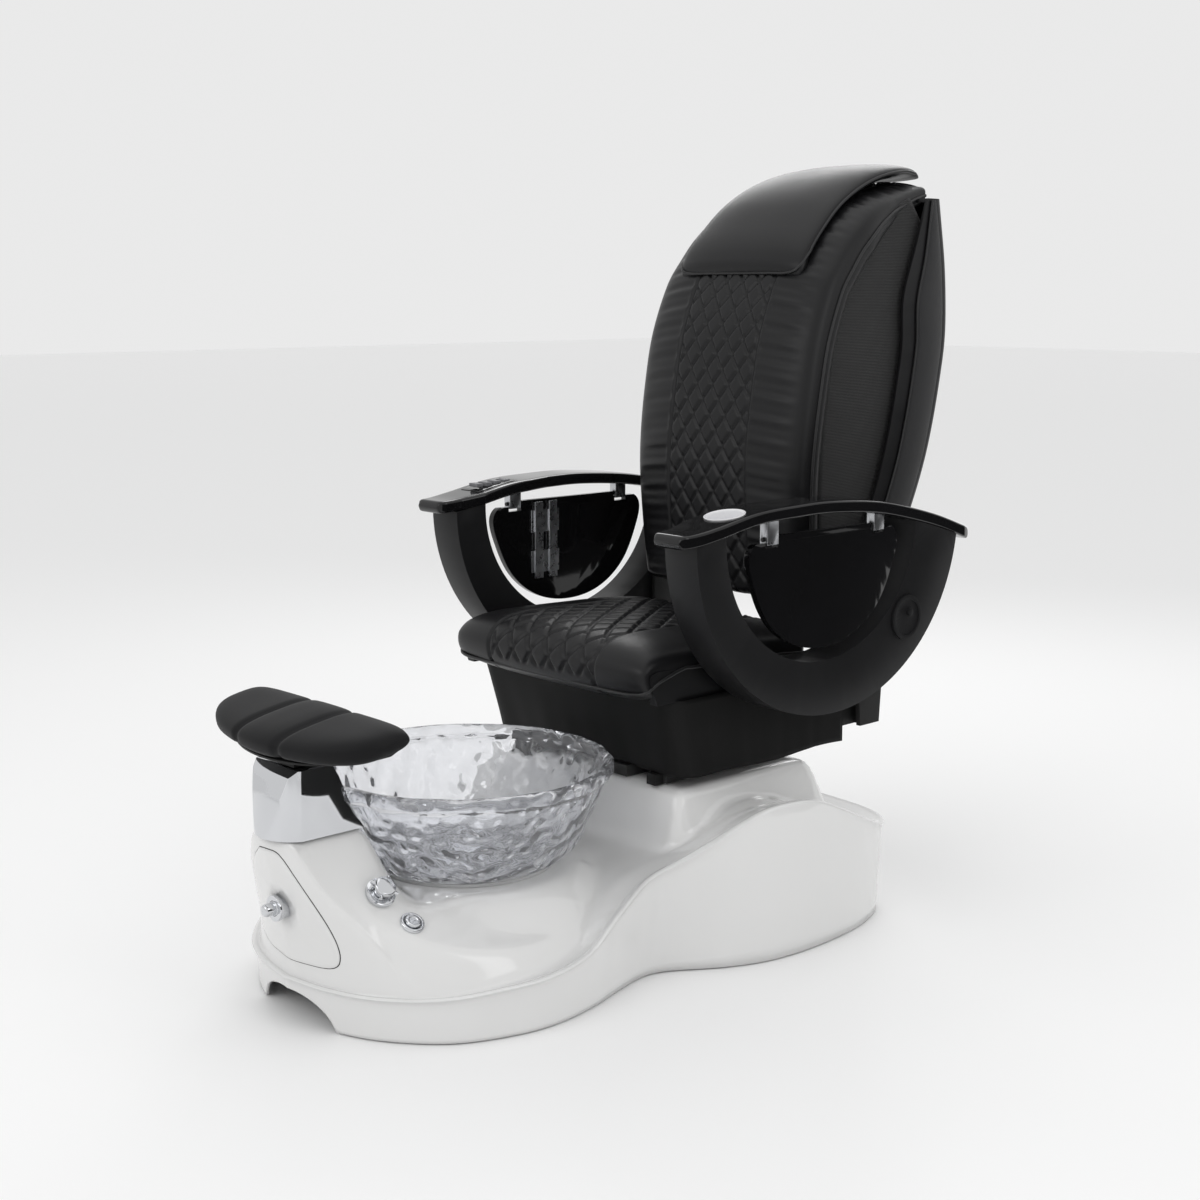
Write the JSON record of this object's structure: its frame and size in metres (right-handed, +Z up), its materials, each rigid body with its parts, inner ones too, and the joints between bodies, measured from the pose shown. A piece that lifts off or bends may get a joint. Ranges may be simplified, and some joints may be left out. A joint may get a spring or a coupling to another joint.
{
  "type": "pedicure spa chair",
  "caption": "Salon pedicure chair: sliding reclining massage seat with lift-up arms and fold-out trays on a white moulded base with a clear foot bowl and tilting footrest.",
  "frame": {"origin": "centre of the footprint box on the floor", "axes": "+Z up, -Y towards the footrest, +X to the sitter's left"},
  "size_m": [0.8262, 1.6028, 1.5217],
  "materials": {
    "gelcoat": "glossy white gelcoat",
    "chrome": "mirror chrome",
    "bowl_glass": "clear hammered glass",
    "rubber": "matt",
    "black_plastic": "moulded",
    "steel": "plated",
    "black_metal": "powder coated",
    "footrest_foam": "closed-cell skin",
    "wood_board": "plywood",
    "leather": "satin black upholstery",
    "arm_plastic": "fine texture",
    "fabric": "woven",
    "gloss_black": "piano black",
    "cup_white": "satin white",
    "key_grey": "soft-touch keys"
  },
  "bodies": {
    "base": {"base_shell": "gelcoat", "tower_cap": "chrome", "service_panel": "gelcoat", "spray_socket": "chrome", "diverter_valve": "chrome", "air_button_switch": "chrome", "glass_bowl": "bowl_glass", "bowl_gasket": "rubber", "drain_fitting": "chrome", "drain_pump": "black_plastic", "base_frame": "steel", "leveling_feet": "rubber", "air_blower": "black_plastic", "control_box": "black_plastic", "power_inlet": "black_plastic", "slide_rails": "steel", "seat_drive": "black_plastic", "footrest_sleeve": "steel"},
    "spray": {"spray_head": "chrome", "spray_hose": "chrome"},
    "knob": {"diverter_knob": "chrome"},
    "air_push": {"air_button": "chrome"},
    "footrest_lift": {"footrest_post": "black_metal"},
    "footrest": {"footrest_plate": "steel", "footrest_pad": "footrest_foam"},
    "seat": {"seat_frame": "black_metal", "arm_pivot_pins": "steel", "seat_carriages": "black_plastic", "seat_pan": "wood_board", "recline_actuator": "black_metal", "seat_cushion": "leather", "seat_skirt": "leather"},
    "recline_rod_body": {"recline_rod": "steel"},
    "back": {"back_frame": "black_metal", "back_cushion": "leather", "headrest_pillow": "leather", "back_shell": "arm_plastic", "back_side_panels": "fabric", "back_mesh_panels": "fabric", "massage_rails": "steel"},
    "massager": {"massage_carriage": "black_plastic"},
    "rollers": {"massage_rollers": "rubber"},
    "arm_left": {"arm_left_housing": "arm_plastic", "arm_left_slab": "gloss_black", "arm_left_pivot_cap": "arm_plastic", "tray_left_brackets": "steel", "cup_holder": "cup_white"},
    "tray_left_body": {"tray_left": "gloss_black"},
    "arm_right": {"arm_right_housing": "arm_plastic", "arm_right_slab": "gloss_black", "arm_right_pivot_cap": "arm_plastic", "tray_right_brackets": "steel", "remote_panel": "gloss_black"},
    "tray_right_body": {"tray_right": "gloss_black"},
    "key_power": {"button_power": "key_grey"},
    "key_recline": {"button_recline": "key_grey"},
    "key_slide": {"button_slide": "key_grey"},
    "key_massage": {"button_massage": "key_grey"}
  },
  "joints": [
    {"name": "spray_pull", "type": "slide", "parent": "base", "child": "spray", "axis": [0, -1, 0], "range_m": [0, 0.11]},
    {"name": "diverter_turn", "type": "hinge", "parent": "base", "child": "knob", "pos_m": [0.133, -0.639, 0.238], "axis": [0.7071, 0, 0.7071], "range_deg": [-90, 90]},
    {"name": "air_button_push", "type": "slide", "parent": "base", "child": "air_push", "axis": [-0.5408, 0, -0.8412], "range_m": [0, 0.004], "stiffness_N_per_m": 400, "springref_m": -0.001},
    {"name": "footrest_height", "type": "slide", "parent": "base", "child": "footrest_lift", "axis": [0, 0, 1], "range_m": [0, 0.08]},
    {"name": "footrest_tilt", "type": "hinge", "parent": "footrest_lift", "child": "footrest", "pos_m": [0, -0.718, 0.478], "axis": [1, 0, 0], "range_deg": [-20, 12]},
    {"name": "seat_slide", "type": "slide", "parent": "base", "child": "seat", "axis": [0, 1, 0], "range_m": [0, 0.12]},
    {"name": "back_recline", "type": "hinge", "parent": "seat", "child": "back", "pos_m": [0, 0.38, 0.56], "axis": [-1, 0, 0], "range_deg": [-4, 28]},
    {"name": "recline_push", "type": "slide", "parent": "seat", "child": "recline_rod_body", "axis": [0, 1, 0], "range_m": [-0.09, 0.02]},
    {"name": "massage_travel", "type": "slide", "parent": "back", "child": "massager", "axis": [0, 0.233, 0.9725], "range_m": [0, 0.4]},
    {"name": "massage_spin", "type": "hinge", "parent": "massager", "child": "rollers", "pos_m": [0, 0.47002, 0.82374], "axis": [1, 0, 0], "continuous": true},
    {"name": "arm_left_lift", "type": "hinge", "parent": "seat", "child": "arm_left", "pos_m": [0.34, 0.468, 0.614], "axis": [-1, 0, 0], "range_deg": [0, 60]},
    {"name": "arm_right_lift", "type": "hinge", "parent": "seat", "child": "arm_right", "pos_m": [-0.34, 0.468, 0.614], "axis": [-1, 0, 0], "range_deg": [0, 60]},
    {"name": "tray_left_swing", "type": "hinge", "parent": "arm_left", "child": "tray_left_body", "pos_m": [0.366, 0.23, 0.806], "axis": [0, -1, 0], "range_deg": [0, 88]},
    {"name": "tray_right_swing", "type": "hinge", "parent": "arm_right", "child": "tray_right_body", "pos_m": [-0.366, 0.23, 0.806], "axis": [0, 1, 0], "range_deg": [0, 88]},
    {"name": "power_press", "type": "slide", "parent": "arm_right", "child": "key_power", "axis": [0, 0, -1], "range_m": [0, 0.0015], "stiffness_N_per_m": 200, "springref_m": -0.001},
    {"name": "recline_press", "type": "slide", "parent": "arm_right", "child": "key_recline", "axis": [0, 0, -1], "range_m": [0, 0.0015], "stiffness_N_per_m": 200, "springref_m": -0.001},
    {"name": "slide_press", "type": "slide", "parent": "arm_right", "child": "key_slide", "axis": [0, 0, -1], "range_m": [0, 0.0015], "stiffness_N_per_m": 200, "springref_m": -0.001},
    {"name": "massage_press", "type": "slide", "parent": "arm_right", "child": "key_massage", "axis": [0, 0, -1], "range_m": [0, 0.0015], "stiffness_N_per_m": 200, "springref_m": -0.001}
  ],
  "couplings": [
    {"joint": "recline_push", "follows": "back_recline", "m_per_rad": -0.1575}
  ]
}
